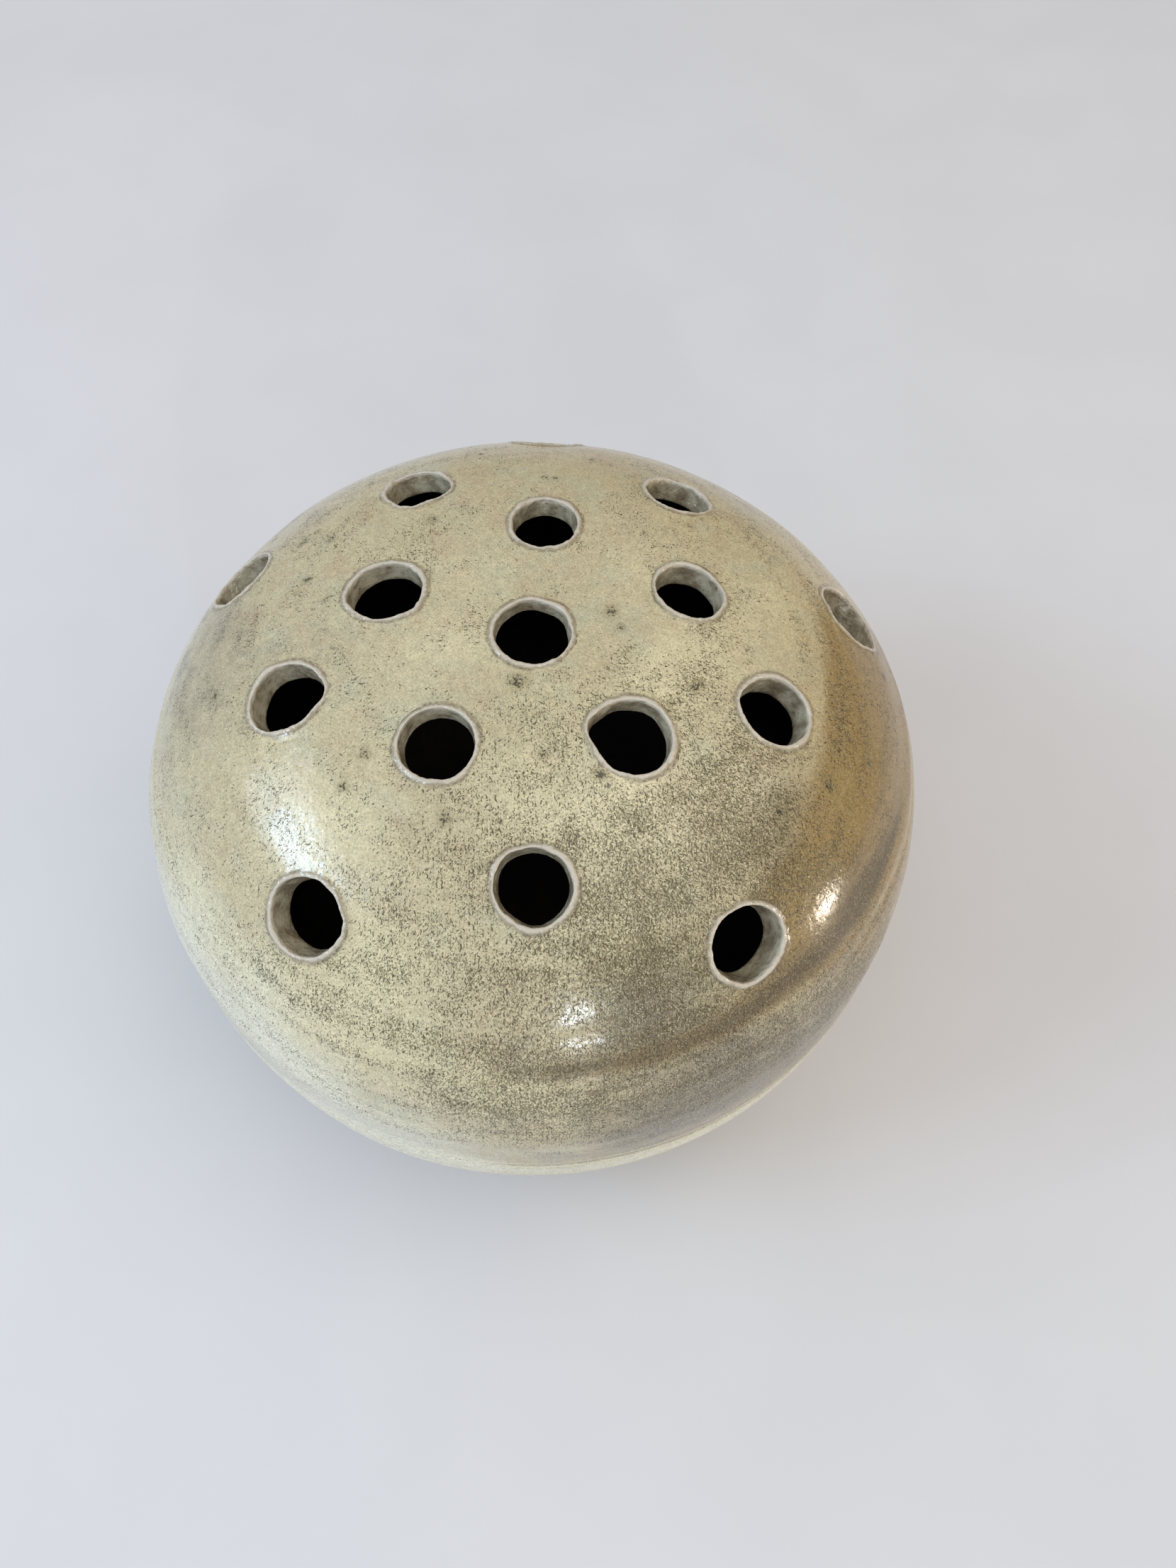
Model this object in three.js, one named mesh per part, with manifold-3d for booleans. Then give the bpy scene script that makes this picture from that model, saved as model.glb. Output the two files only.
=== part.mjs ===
// Flower frog: a squat, closed, wheel-thrown stoneware vase with sixteen stem holes in its dome.
// Millimetres, +Z up, origin at the centre of the foot, on the surface the vase stands on.
// The front of the vase faces -Y.

import * as THREE from 'three';
import { mergeVertices } from 'three/addons/utils/BufferGeometryUtils.js';
import Module from 'manifold-3d';

const wasm = await Module();
wasm.setup();

// Vase
const girthRadius = 90; // widest radius of the vase
const girthHeight = 71; // height of the widest line, where the dome is luted to the bowl
const domeRise = 64; // dome, above the girth
const domeFullness = 2.4; // exponent of the dome's curve: 2 is an ellipse, more is squarer
const bellyDrop = 72; // belly, below the girth, if its curve ran on to the middle
const bellyFullness = 2.8; // exponent of the belly's curve
const wall = 5.5; // thickness of the clay at the girth
const crownWall = 2.5; // thickness in the middle of the dome, where the closing form was thinned
const crownFullness = 2.3; // exponent of the curve inside the dome
const floorTop = 11; // height of the floor inside
const joint = 0.3; // line of slip between two pieces of clay
const mitre = 3; // how far the luted joint slopes down towards the inside

// Foot ring
const footOuter = 50;
const footInner = 42;
const footHeight = 3.5;
const footEdge = 1; // bevel where the foot meets the table
const underside = footHeight + joint; // underside of the bowl, inside the foot ring

// Stem holes: a collar of clay lines each one and ends in a lip around its mouth
const flare = 0.24; // each hole narrows inwards by this much for every millimetre of depth
const lipWidth = 1.4; // from the edge of the mouth out to the edge of the lip
const lipProud = 0.4; // the lip stands this far above the dome
const lipRound = 0.9; // how deep the rounding of the mouth runs
const cutReach = 2 * wall; // how far a hole's cutter runs in and out from the dome

// Each hole is cut by hand, so it strays a little from its even place in its ring.
// radius is from the axis of the vase, azimuth is counter-clockwise from +X, mouth is the hole's own radius.
const stemHoles = [
  { name: 'centre', radius: 2, azimuth: -106, mouth: 7.7 },
  { name: 'inner_right_back', radius: 34, azimuth: 18, mouth: 7.4 },
  { name: 'inner_back', radius: 29, azimuth: 85, mouth: 7.6 },
  { name: 'inner_left_back', radius: 32.5, azimuth: 160, mouth: 7.7 },
  { name: 'inner_left_front', radius: 32.5, azimuth: 234, mouth: 7.5 },
  { name: 'inner_right_front', radius: 31.5, azimuth: 306, mouth: 7.9 },
  { name: 'middle_right_back', radius: 54.5, azimuth: 53, mouth: 7.6 },
  { name: 'middle_left_back', radius: 52, azimuth: 120, mouth: 7.6 },
  { name: 'middle_left', radius: 51.5, azimuth: 193, mouth: 7.9 },
  { name: 'middle_front', radius: 54, azimuth: 269, mouth: 7.7 },
  { name: 'middle_right', radius: 51, azimuth: 341, mouth: 7.6 },
  { name: 'outer_right_back', radius: 73.5, azimuth: 14, mouth: 8.1 },
  { name: 'outer_back', radius: 72, azimuth: 87, mouth: 8 },
  { name: 'outer_left_back', radius: 72, azimuth: 156, mouth: 7.9 },
  { name: 'outer_left_front', radius: 70.5, azimuth: 231, mouth: 8.1 },
  { name: 'outer_right_front', radius: 73, azimuth: 303, mouth: 8.1 },
];

// Fineness
const turnSides = 48;
const domeSteps = 9;
const bellySteps = 8;
const insideSteps = 6;
const holeSides = 16;

// Fired clay, under a pale ash glaze everywhere but the foot
const domeGlaze = () => new THREE.MeshStandardMaterial({ color: 0xb3a98b, roughness: 0.35, metalness: 0 });
const bellyGlaze = () => new THREE.MeshStandardMaterial({ color: 0xa39b80, roughness: 0.35, metalness: 0 });
const lipGlaze = () => new THREE.MeshStandardMaterial({ color: 0xb7aca0, roughness: 0.3, metalness: 0 });
const bareClay = () => new THREE.MeshStandardMaterial({ color: 0x8f7a62, roughness: 0.9, metalness: 0 });

const point = (x, y) => new THREE.Vector2(x, y);

// Height of a superellipse curve above or below the girth, at a radius
function curveHeight(radius, widest, rise, fullness) {
  const across = Math.min(radius / widest, 1);
  return rise * (1 - across ** fullness) ** (1 / fullness);
}

// Points of that curve from its widest radius in to endRadius; a negative rise goes down
function curvePoints(widest, rise, fullness, endRadius, steps) {
  const endAngle = Math.acos((endRadius / widest) ** (fullness / 2));
  const points = [];
  for (let step = 0; step <= steps; step += 1) {
    const angle = (endAngle * step) / steps;
    const radius = widest * Math.cos(angle) ** (2 / fullness);
    const height = rise * Math.sin(angle) ** (2 / fullness);
    points.push(point(step === steps ? endRadius : radius, girthHeight + height));
  }
  return points;
}

// A closed profile turned about +Z, as one solid
function turned(profile, sides) {
  const geometry = new THREE.LatheGeometry(profile, sides);
  geometry.rotateX(Math.PI / 2);
  return solid(geometry);
}

function solid(geometry) {
  geometry.deleteAttribute('normal');
  geometry.deleteAttribute('uv');
  const merged = mergeVertices(geometry, 1e-4);
  const corners = Array.from(merged.index.array);
  const kept = [];
  for (let i = 0; i < corners.length; i += 3) {
    const [a, b, c] = corners.slice(i, i + 3);
    if (a !== b && b !== c && c !== a) kept.push(a, b, c); // a lathe leaves empty triangles on its axis
  }
  return new wasm.Manifold(
    new wasm.Mesh({
      numProp: 3,
      vertProperties: new Float32Array(merged.attributes.position.array),
      triVerts: new Uint32Array(kept),
    }),
  );
}

function mesh(name, body, material) {
  const { vertProperties, triVerts } = body.getMesh();
  const geometry = new THREE.BufferGeometry();
  geometry.setAttribute('position', new THREE.BufferAttribute(new Float32Array(vertProperties), 3));
  geometry.setIndex(new THREE.BufferAttribute(new Uint32Array(triVerts), 1));
  geometry.computeVertexNormals();
  const result = new THREE.Mesh(geometry, material);
  result.name = name;
  return result;
}

// The wall of the dome, with its outside moved out by proud
function domeShell(proud) {
  const outside = curvePoints(girthRadius + proud, domeRise + proud, domeFullness, 0, domeSteps);
  const inside = curvePoints(girthRadius - wall, domeRise - crownWall, crownFullness, 0, insideSteps);
  outside[0].y += joint;
  inside[0].y += joint - mitre;
  return turned([...inside.reverse(), ...outside], turnSides);
}

// Stands a solid turned about +Z on the dome, along the outward normal of a hole
function standOnDome(body, hole) {
  const height = curveHeight(hole.radius, girthRadius, domeRise, domeFullness);
  const acrossSlope = (hole.radius ** (domeFullness - 1)) / girthRadius ** domeFullness;
  const upSlope = (height ** (domeFullness - 1)) / domeRise ** domeFullness;
  const azimuth = THREE.MathUtils.degToRad(hole.azimuth);
  const outward = new THREE.Vector3(Math.cos(azimuth), Math.sin(azimuth), 0);
  const normal = outward.clone().multiplyScalar(acrossSlope);
  normal.z = upSlope;
  normal.normalize();
  const place = new THREE.Matrix4().makeRotationFromQuaternion(
    new THREE.Quaternion().setFromUnitVectors(new THREE.Vector3(0, 0, 1), normal),
  );
  place.setPosition(outward.multiplyScalar(hole.radius).setZ(girthHeight + height));
  return body.transform(place.elements);
}

// A plain round plug through the wall
function plug(radius) {
  const profile = [point(0, -cutReach), point(radius, -cutReach), point(radius, cutReach), point(0, cutReach)];
  return turned(profile, holeSides);
}

// The space inside a hole: it widens outwards through the wall and rounds over at the mouth
function holeSpace(mouth) {
  return turned(
    [
      point(0, -cutReach),
      point(mouth - flare * cutReach, -cutReach),
      point(mouth - flare * lipRound, -lipRound),
      point(mouth, 0),
      point(mouth + lipWidth / 2, lipProud),
      point(mouth + lipWidth / 2, cutReach),
      point(0, cutReach),
    ],
    holeSides,
  );
}

function piercedDome() {
  let dome = domeShell(0);
  for (const hole of stemHoles) {
    dome = dome.subtract(standOnDome(plug(hole.mouth + lipWidth + joint), hole));
  }
  return mesh('pierced_dome', dome, domeGlaze());
}

function holeLip(hole) {
  const collar = domeShell(lipProud).intersect(standOnDome(plug(hole.mouth + lipWidth), hole));
  return mesh(`hole_lip_${hole.name}`, collar.subtract(standOnDome(holeSpace(hole.mouth), hole)), lipGlaze());
}

function lowerBowl() {
  const outside = curvePoints(girthRadius, -bellyDrop, bellyFullness, footOuter, bellySteps);
  const inside = curvePoints(girthRadius - wall, floorTop - girthHeight, bellyFullness, 0, insideSteps);
  inside[0].y -= mitre;
  const base = [point(footOuter, underside), point(0, underside)];
  return mesh('lower_bowl', turned([...base.reverse(), ...outside.reverse(), ...inside], turnSides), bellyGlaze());
}

function footRing() {
  const profile = [
    point(footInner + footEdge, 0),
    point(footOuter - footEdge, 0),
    point(footOuter, footEdge),
    point(footOuter, footHeight),
    point(footInner, footHeight),
    point(footInner, footEdge),
    point(footInner + footEdge, 0),
  ];
  return mesh('foot_ring', turned(profile, turnSides), bareClay());
}

const flowerFrog = new THREE.Group();
flowerFrog.add(footRing(), lowerBowl(), piercedDome(), ...stemHoles.map(holeLip));

export default flowerFrog;
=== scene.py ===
# Flower frog: a squat, closed stoneware vase with sixteen hand-cut stem holes, under a speckled ash glaze.
import math

import bmesh
import bpy
import numpy as np
from mathutils import Matrix, Vector


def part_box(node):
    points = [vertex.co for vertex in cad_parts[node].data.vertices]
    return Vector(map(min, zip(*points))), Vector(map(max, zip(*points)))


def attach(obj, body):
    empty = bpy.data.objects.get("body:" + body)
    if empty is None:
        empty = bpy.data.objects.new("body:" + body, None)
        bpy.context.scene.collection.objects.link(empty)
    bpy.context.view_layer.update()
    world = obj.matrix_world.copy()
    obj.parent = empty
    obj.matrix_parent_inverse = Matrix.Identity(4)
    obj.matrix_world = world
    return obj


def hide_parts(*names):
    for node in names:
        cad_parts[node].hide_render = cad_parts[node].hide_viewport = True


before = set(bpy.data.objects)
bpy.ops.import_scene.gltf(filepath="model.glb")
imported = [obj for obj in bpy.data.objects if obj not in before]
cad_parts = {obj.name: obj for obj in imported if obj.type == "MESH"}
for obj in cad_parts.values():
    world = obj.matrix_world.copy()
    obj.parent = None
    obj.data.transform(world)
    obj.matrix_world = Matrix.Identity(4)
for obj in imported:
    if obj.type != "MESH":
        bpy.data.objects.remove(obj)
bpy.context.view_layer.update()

mm = 0.001

# The form that every piece follows. Lengths in millimetres.
form = {
    "girthRadius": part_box("pierced_dome")[1].x / mm,
    "girthHeight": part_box("lower_bowl")[1].z / mm,  # where the dome is luted to the bowl
    "domeRise": 64,
    "domeFullness": 2.4,  # exponent of the curve: 2 is an ellipse, more is squarer
    "bellyDrop": 72,  # the belly's curve, if it ran on to the middle
    "bellyFullness": 2.8,
    "wall": 5.5,
    "crownThinning": 3,  # the closed top is thinner than the wall by this much
    "innerFullness": 2.3,
    "floorTop": 11,  # height of the floor inside
    "mitre": 3,  # the luted joint slopes down towards the inside
    "turns": 288,  # steps in one turn of the wheel
    "curveSteps": 1000,
    "skin": 1.6,  # what lies deeper than this under the outer surface is the inside
}

# The stem holes, cut by hand. radius is from the middle of the dome, turn is the angle from +X in degrees
# and mouth is the hole's own radius. tall stretches the hole up the slope, burr is how far the knife pushed
# the clay through, and each of pulls draws the edge outwards: at an angle, by so much.
holeFacts = ("radius", "turn", "mouth", "tall", "burr", "pulls")
stemHoles = {
    "centre": (2, -106, 7.7, 1.0, 0.2, [(112, 0.5), (60, 0.4)]),
    "inner_right_back": (34, 18, 7.4, 0.95, 1.8, [(250, 0.4)]),
    "inner_back": (29, 85, 6.9, 1.12, 1.0, [(40, 0.4), (130, 0.3)]),
    "inner_left_back": (32.5, 160, 7.5, 1.06, 0.9, [(60, 0.5), (300, 0.5)]),
    "inner_left_front": (32.5, 234, 7.4, 1.0, 0.5, [(330, 0.5)]),
    "inner_right_front": (31.5, 306, 7.6, 1.06, 0.6, [(130, 0.9), (20, 0.4)]),
    "middle_right_back": (54.5, 53, 7.3, 0.98, 0.6, [(200, 0.4)]),
    "middle_left_back": (52, 120, 7.0, 1.08, 0.6, [(45, 0.7), (135, 0.7)]),
    "middle_left": (51.5, 193, 7.4, 1.06, 0.8, [(75, 0.9), (200, 0.5)]),
    "middle_front": (54, 269, 7.3, 0.98, 0.3, [(272, 0.5), (140, 0.4)]),
    "middle_right": (51, 341, 7.6, 1.0, 1.5, [(100, 0.4)]),
    "outer_right_back": (73.5, 14, 8.1, 1.0, 0.5, [(220, 0.8), (60, 0.6)]),
    "outer_back": (72, 87, 8, 1.0, 0.5, [(10, 0.4)]),
    "outer_left_back": (72, 156, 7.9, 1.0, 0.5, [(300, 0.5)]),
    "outer_left_front": (70.5, 231, 7.7, 0.98, 0.3, [(20, 0.5), (160, 0.4)]),
    "outer_right_front": (73, 303, 8.0, 0.9, 0.8, [(120, 0.6), (250, 0.5)]),
}
stemHoles = {name: dict(zip(holeFacts, facts)) for name, facts in stemHoles.items()}


# Selecting, naming and shaping pieces

def deselectAll():
    if bpy.context.mode != "OBJECT":
        bpy.ops.object.mode_set(mode="OBJECT")
    bpy.ops.object.select_all(action="DESELECT")


def pickUp(piece):
    deselectAll()
    piece.select_set(True)
    bpy.context.view_layer.objects.active = piece


def nameActive(name):
    piece = bpy.context.active_object
    piece.name = name
    piece.data.name = name
    return piece


def useModifier(piece, kind, **settings):
    pickUp(piece)
    modifier = piece.modifiers.new(kind.title(), kind)
    for setting, value in settings.items():
        setattr(modifier, setting, value)
    bpy.ops.object.modifier_apply(modifier=modifier.name)


def copyOf(piece, name):
    pickUp(piece)
    bpy.ops.object.duplicate()
    return nameActive(name)


def discard(piece):
    mesh = piece.data
    bpy.data.objects.remove(piece)
    bpy.data.meshes.remove(mesh)


def weigh(piece, name, weightAt):  # vertex group from each vertex's place, in millimetres
    group = piece.vertex_groups.new(name=name)
    for vertex in piece.data.vertices:
        weight = weightAt(vertex.co / mm)
        if weight > 0:
            group.add([vertex.index], min(weight, 1), "REPLACE")


def clouds(name, size):
    texture = bpy.data.textures.new(name, "CLOUDS")
    texture.noise_scale = size * mm
    texture.noise_depth = 1
    return texture


def roughen(piece, name, group, size, strength):  # pushes the group's surface in and out
    useModifier(piece, "DISPLACE", texture=clouds(name, size), texture_coords="LOCAL", vertex_group=group,
                strength=strength * mm, mid_level=0.5)


def fade(value, low, high):  # 0 at low, 1 at high, smooth between
    share = min(max((value - low) / (high - low), 0), 1)
    return share * share * (3 - 2 * share)


# The form's curves, in millimetres

def domeHeight(radius):
    across = min(radius / form["girthRadius"], 1)
    fullness = form["domeFullness"]
    return form["girthHeight"] + form["domeRise"] * (1 - across ** fullness) ** (1 / fullness)


def curve(widest, rise, fullness, endRadius=0):  # from the girth inwards; a negative rise goes down
    endAngle = math.acos((endRadius / widest) ** (fullness / 2))
    points = []
    steps = form["curveSteps"]
    for step in range(steps + 1):
        angle = endAngle * step / steps
        radius = widest * math.cos(angle) ** (2 / fullness)
        points.append((radius, form["girthHeight"] + rise * math.sin(angle) ** (2 / fullness)))
    points[-1] = (endRadius, points[-1][1])
    return points


def evenly(points, spacing):  # the same line, with a point about every spacing
    lengths = [0]
    for before, after in zip(points, points[1:]):
        lengths.append(lengths[-1] + math.dist(before, after))
    count = max(2, round(lengths[-1] / spacing))
    even, at = [], 0
    for step in range(count + 1):
        goal = lengths[-1] * step / count
        while at < len(points) - 2 and lengths[at + 1] < goal:
            at += 1
        share = (goal - lengths[at]) / (lengths[at + 1] - lengths[at])
        even.append(tuple(a + (b - a) * share for a, b in zip(points[at], points[at + 1])))
    return even


def ridged(points, ridges, side):  # adds soft ridges to a line; side is 1 where it runs up, -1 down
    shaped = []
    for before, here, after in zip([points[0], *points], points, [*points[1:], points[-1]]):
        proud = sum(up * math.exp(-(((here[1] - height) / width) ** 2)) for height, width, up in ridges)
        along = Vector((after[0] - before[0], after[1] - before[1])).normalized()
        shaped.append((here[0] + along.y * side * proud, here[1] - along.x * side * proud))
    return shaped


def holePlace(hole):  # x runs around the dome, y up the slope and z out of the hole
    turn = math.radians(hole["turn"])
    radius = hole["radius"]
    height = domeHeight(radius)
    fullness = form["domeFullness"]
    across = radius ** (fullness - 1) / form["girthRadius"] ** fullness
    up = (height - form["girthHeight"]) ** (fullness - 1) / form["domeRise"] ** fullness
    out = Vector((math.cos(turn), math.sin(turn), 0))
    normal = (out * across + Vector((0, 0, up))).normalized()
    around = Vector((-out.y, out.x, 0))
    uphill = normal.cross(around)
    place = Matrix((around, uphill, normal)).transposed().to_4x4()
    place.translation = (out * radius + Vector((0, 0, height))) * mm
    return place


def throwOnWheel(name, profile):  # extrudes a closed profile point by point, then spins it
    deselectAll()
    bpy.ops.mesh.primitive_plane_add(size=mm, location=(0, 0, 0))
    piece = nameActive(name)
    bpy.ops.object.mode_set(mode="EDIT")
    bpy.ops.mesh.select_all(action="SELECT")
    bpy.ops.mesh.merge(type="CENTER")
    places = [Vector((radius, 0, height)) * mm for radius, height in profile]
    bpy.ops.transform.translate(value=places[0])
    for before, after in zip(places, [*places[1:], places[0]]):
        bpy.ops.mesh.extrude_region_move(TRANSFORM_OT_translate={"value": after - before})
    bpy.ops.mesh.select_all(action="SELECT")
    bpy.ops.mesh.spin(steps=form["turns"], angle=2 * math.pi, center=(0, 0, 0), axis=(0, 0, 1))
    bpy.ops.mesh.select_all(action="SELECT")
    bpy.ops.mesh.remove_doubles(threshold=0.01 * mm)
    bpy.ops.mesh.delete_loose()  # what the profile leaves along the axis
    bpy.ops.mesh.select_all(action="SELECT")
    bpy.ops.mesh.normals_make_consistent(inside=False)
    bpy.ops.object.mode_set(mode="OBJECT")
    return piece


# The dome
domeClay = {
    "step": 0.9,  # between the rings of the mesh
    "insideStep": 2.6,
    "ridges": [  # left by the potter's fingers: height, width, how far it stands proud
        (76, 3.0, -0.08), (82, 2.6, 0.10), (88, 3.2, -0.10), (94.5, 2.6, 0.10), (100.2, 1.5, 0.22),
        (104.5, 2.4, -0.10), (110.5, 2.2, 0.07), (115, 2.6, -0.06), (120, 3.0, 0.06), (125, 3.0, -0.04),
    ],
    "slump": (48, 0.9),  # soft unevenness of the whole form: size, strength
    "fingers": (13, 0.22),  # smaller dents
    "still": 7,  # next to the girth the unevenness fades over this much height
    "skin": 1.5,  # only clay less deep than this is uneven
    "cutRadius": 1.2,  # the clay is cut this far outside each mouth; a collar of slip covers the cut
    "heart": 40,  # height of the place that the inside faces
    "cutSides": 64,
    "cutLength": 30,
}


def unevenDome(piece):
    girth = form["girthHeight"]
    inner = form["girthRadius"] - form["wall"]

    def outside(place):
        radius = math.hypot(place.x, place.y)
        if radius < inner and place.z < domeHeight(radius) - domeClay["skin"]:
            return 0
        return fade(place.z, girth, girth + domeClay["still"])

    weigh(piece, "outside", outside)
    for name in ("slump", "fingers"):
        roughen(piece, name, "outside", *domeClay[name])


def throwDome():
    outside = curve(form["girthRadius"], form["domeRise"], form["domeFullness"])
    outside = ridged(evenly(outside, domeClay["step"]), domeClay["ridges"], 1)
    rise = form["domeRise"] - form["wall"] + form["crownThinning"]
    inside = curve(form["girthRadius"] - form["wall"], rise, form["innerFullness"])
    inside = evenly(inside, domeClay["insideStep"])
    inside[0] = (inside[0][0], inside[0][1] - form["mitre"])
    dome = throwOnWheel("uncutDome", outside + inside[::-1])
    unevenDome(dome)
    return dome


def cutHoles(dome):
    deselectAll()
    cutters = []
    for name, hole in stemHoles.items():
        bpy.ops.mesh.primitive_cylinder_add(
            vertices=domeClay["cutSides"], radius=(hole["mouth"] + domeClay["cutRadius"]) * mm,
            depth=domeClay["cutLength"] * mm)
        cutter = nameActive("cutter_" + name)
        cutter.data.transform(holePlace(hole) @ Matrix.Diagonal((1, hole["tall"], 1, 1)))
        cutters.append(cutter)
    for cutter in cutters:
        cutter.select_set(True)
    bpy.ops.object.join()
    allCutters = nameActive("cutters")
    useModifier(dome, "BOOLEAN", operation="DIFFERENCE", solver="EXACT", object=allCutters)
    discard(allCutters)


# The bowl
bowlClay = {
    "step": 1.0,
    "fineStep": 0.4,  # close under the girth, where the turning lines are
    "fineBelow": 19,  # from the girth down
    "insideStep": 3,
    "lines": [  # cut by the turning tool: height, width, depth
        (66.0, 0.8, 0.14), (64.0, 0.6, -0.30), (62.2, 0.8, 0.14), (60.4, 0.6, -0.28), (57, 1.4, 0.10),
        (54, 0.7, -0.26), (50, 3, 0.08), (45, 3, -0.10), (38, 3, 0.08), (30, 2.5, -0.08), (22, 1.2, -0.12),
        (16, 1.2, -0.14), (11, 1.0, -0.12),
    ],
    "footOuter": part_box("foot_ring")[1].x / mm,
    "base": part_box("lower_bowl")[0].z / mm,
    "dish": 0.8,  # the underside is this much hollow
    "dishRings": (0.96, 0.84, 0.7, 0.5, 0.3, 0.15, 0),  # shares of the foot's radius
    "slump": (48, 0.9),
    "still": 7,
    "skin": 2.5,  # only clay less deep than this slumps
    "stillFoot": (6, 16),  # between these heights the slump fades towards the foot
}


def bellyRadius(height):
    down = min((form["girthHeight"] - height) / form["bellyDrop"], 1)
    fullness = form["bellyFullness"]
    return form["girthRadius"] * (1 - down ** fullness) ** (1 / fullness)


def throwBowl():
    belly = curve(form["girthRadius"], -form["bellyDrop"], form["bellyFullness"], bowlClay["footOuter"])
    belly = [point for point in belly if point[1] > bowlClay["base"]]
    fineEnd = form["girthHeight"] - bowlClay["fineBelow"]
    fine = evenly([point for point in belly if point[1] >= fineEnd], bowlClay["fineStep"])
    rest = evenly([point for point in belly if point[1] < fineEnd], bowlClay["step"])
    outside = ridged(fine + rest, bowlClay["lines"], -1)
    foot, base = bowlClay["footOuter"], bowlClay["base"]
    under = [(foot * share, base + bowlClay["dish"] * (1 - share ** 2)) for share in bowlClay["dishRings"]]
    innerDrop = form["floorTop"] - form["girthHeight"]
    inside = curve(form["girthRadius"] - form["wall"], innerDrop, form["bellyFullness"])
    inside = evenly(inside, bowlClay["insideStep"])
    inside[0] = (inside[0][0], inside[0][1] - form["mitre"])
    bowl = throwOnWheel("glazedBowl", outside + [(foot, base)] + under + inside[::-1])

    def freeSurface(place):
        radius = math.hypot(place.x, place.y)
        if radius < bowlClay["footOuter"] - 1 or place.z > form["girthHeight"] - 0.01:
            return 0
        below = form["girthHeight"] - place.z
        onOutside = radius > bellyRadius(place.z) - bowlClay["skin"]
        return fade(below, 0, bowlClay["still"]) * fade(place.z, *bowlClay["stillFoot"]) * onOutside

    weigh(bowl, "outside", freeSurface)
    roughen(bowl, "bellySlump", "outside", *bowlClay["slump"])
    return bowl


# The foot ring
footClay = {
    "outer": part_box("foot_ring")[1].x / mm,
    "inner": 42,
    "height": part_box("foot_ring")[1].z / mm,
    "rounding": 1.1,
    "roundSteps": 6,
    "groove": [(1.2, 0), (0.5, 0.12), (-0.2, 0.02), (-1.4, 0)],  # out from the middle of the ring, and up
    "tuckedIn": 0.4,  # the ring's top reaches this far in under the bowl
}


def turnFoot():
    outer, inner, height, rounding = (footClay[key] for key in ("outer", "inner", "height", "rounding"))
    middle, steps = (outer + inner) / 2, footClay["roundSteps"]
    profile = [(outer, height)]
    for step in range(steps + 1):  # round the outer edge, then the inner one
        angle = math.pi / 2 * step / steps
        out, up = rounding * math.cos(angle), rounding * math.sin(angle)
        profile.append((outer - rounding + out, rounding - up))
    profile += [(middle + out, up) for out, up in footClay["groove"]]
    for step in range(steps + 1):
        angle = math.pi / 2 * (1 - step / steps)
        out, up = rounding * math.cos(angle), rounding * math.sin(angle)
        profile.append((inner + rounding - out, rounding - up))
    profile.append((inner - footClay["tuckedIn"], height))
    return throwOnWheel("turnedFoot", profile)


# The collars that line the holes
collar = {
    "sides": 128,
    "lift": 4,  # height above the dome that the flat collar is laid down from
    # From outside to inside: out from the edge of the mouth, up from the dome, and how much it wanders
    "lip": [
        (4.4, -0.30, 0), (3.4, -0.09, 0), (2.7, 0.0, 0.05), (2.0, 0.02, 0.15), (1.4, 0.05, 0.4),
        (1.0, 0.13, 0.7), (0.66, 0.26, 0.9), (0.4, 0.32, 1), (0.18, 0.27, 1), (0.03, 0.13, 1),
        (0, -0.08, 1),
    ],
    "taper": 6,  # the wall narrows as listed below over this much depth, and less where the clay is thinner
    # Down the wall: in from the edge of the mouth, the share of the wall's depth, and how much it wanders
    "wall": [
        (0.08, 0.14, 0.9), (0.28, 0.35, 0.7), (0.58, 0.62, 0.6), (0.84, 0.84, 0.6), (0.92, 0.95, 0.5),
    ],
    # In from the edge of the mouth, and below the wall's end: rounded off, then spread against the clay
    "end": [(0.45, 0.05), (-0.4, 0.1), (-1.6, -0.1), (-2.6, -0.3)],
    "endWander": 0.3,
    "body": [(-1.1, 0.9), (-1.1, 0.25)],  # back up, hidden in the clay
    "pinch": 0.8,  # a pull takes hold of this much of the edge
    "pullReach": 4.2,  # and draws along the clay this far around
    "wander": (8.5, 0.75),  # slow wandering of the cut edge: size, strength
    "lumps": (2.6, 0.5),
    "grains": (1.0, 0.2),
    "probe": (0.5, 12, 0.05),  # the wall's thickness is felt from, to, and in steps of
}


def wallDepth(hole):  # thickness of the dome along the hole
    place = holePlace(hole)
    rise = form["domeRise"] - form["wall"] + form["crownThinning"]
    widest = form["girthRadius"] - form["wall"]
    depth, deepest, step = collar["probe"]
    while depth < deepest:
        spot = place @ Vector((0, 0, -depth * mm)) / mm
        share = (math.hypot(spot.x, spot.y) / widest) ** form["innerFullness"]
        share += ((spot.z - form["girthHeight"]) / rise) ** form["innerFullness"]
        if share < 1:
            break
        depth += step
    return depth


def collarRings(hole):  # radius, height and wander of each ring of one collar, and its place across the lip
    mouth, depth = hole["mouth"], wallDepth(hole) + hole["burr"]
    rings = [(mouth + out, up, wander, -out) for out, up, wander in collar["lip"]]
    taper = depth / collar["taper"]
    rings += [(mouth - inward * taper, -depth * share, wander, depth * share)
              for inward, share, wander in collar["wall"]]
    rings += [(mouth - inward, -depth - below, collar["endWander"], depth + below + 1)
              for inward, below in collar["end"]]
    rings += [(mouth - inward, -depth * share, 0, depth + 3) for inward, share in collar["body"]]
    return rings


def selectVertices(piece, chosen):  # in edit mode
    edit = bmesh.from_edit_mesh(piece.data)
    edit.verts.index_update()
    for vertex in edit.verts:
        vertex.select = chosen(vertex)
    edit.select_flush_mode()
    bmesh.update_edit_mesh(piece.data)


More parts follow.
